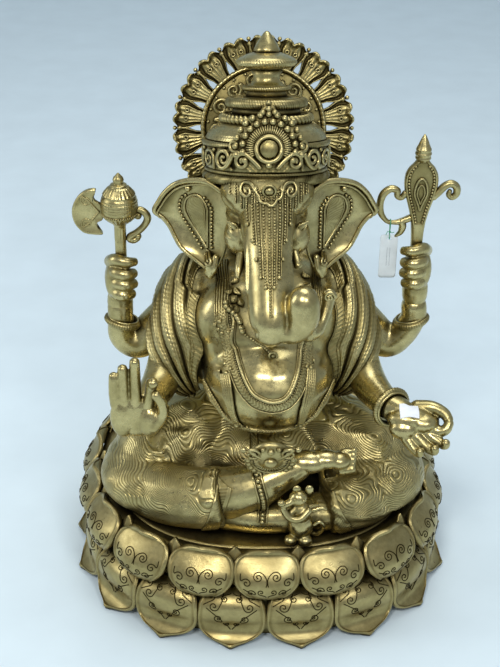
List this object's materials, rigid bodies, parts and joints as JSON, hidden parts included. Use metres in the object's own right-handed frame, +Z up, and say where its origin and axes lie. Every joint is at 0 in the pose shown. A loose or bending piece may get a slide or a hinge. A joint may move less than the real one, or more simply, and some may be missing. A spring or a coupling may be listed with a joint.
{
  "type": "hindu deity statue",
  "caption": "Cast brass statue of a seated four-armed elephant-headed deity on a double lotus base, with a crown, a scalloped halo, held attributes, a mouse and a swinging hang tag.",
  "frame": {"origin": "centre of the lotus base's underside, on the plane that it stands on", "axes": "+Z up to the crown's finial, -Y to the statue's front, so the figure's right hand side is at -X"},
  "size_m": [0.444, 0.4412, 0.6023],
  "materials": {
    "brass": "polished raised areas, brown patina in the recesses",
    "brass_base": "satin, chased scrolls, brown patina in the recesses",
    "steel": "plain turned fasteners",
    "tag_card": "thin translucent card, blank",
    "sticker": "matt paper label, blank",
    "thread": "twisted green cotton"
  },
  "bodies": {
    "statue": {"lotus_lower_tier": "brass_base", "lotus_upper_tier": "brass_base", "seat_bolt_right": "steel", "seat_bolt_left": "steel", "seat_plate": "brass_base", "dhoti_hips": "brass", "dhoti_right_leg": "brass", "dhoti_left_leg": "brass", "right_foot": "brass", "anklet": "brass", "torso": "brass", "head_and_trunk": "brass", "waist_medallion": "brass", "waist_belt": "brass", "belly_garland": "brass", "necklace": "brass", "mouse": "brass", "right_tusk": "brass", "left_tusk": "brass", "crown_band": "brass", "crown_dome": "brass", "crown_lower_tier": "brass", "crown_upper_tier": "brass", "crown_umbrella": "brass", "crown_finial": "brass", "forehead_net": "brass", "crown_crest": "brass", "halo_screw_upper": "steel", "halo_screw_lower": "steel", "halo_disc": "brass", "halo_ring": "brass", "right_ear": "brass", "right_front_arm": "brass", "right_front_hand": "brass", "left_ear": "brass", "left_front_arm": "brass", "left_front_hand": "brass", "left_front_bangle": "brass", "mace_shaft": "brass", "mace_pot": "brass", "goad_shaft": "brass", "goad_paddle": "brass", "right_rear_arm": "brass", "right_rear_bangle": "brass", "right_shawl": "brass", "right_tassel": "brass", "left_rear_arm": "brass", "left_rear_bangle": "brass", "left_shawl": "brass", "left_tassel": "brass", "mace_axe_blade": "brass", "mace_scroll": "brass", "goad_finial": "brass", "goad_loop": "brass", "goad_scroll": "brass", "price_sticker": "sticker"},
    "hang_tag": {"tag_thread": "thread", "thread_knot": "thread", "hang_tag": "tag_card"}
  },
  "joints": [
    {"name": "tag_swing", "type": "hinge", "parent": "statue", "child": "hang_tag", "pos_m": [0.136, 0.01, 0.402], "axis": [1, 0, 0], "range_deg": [-60, 60]}
  ]
}
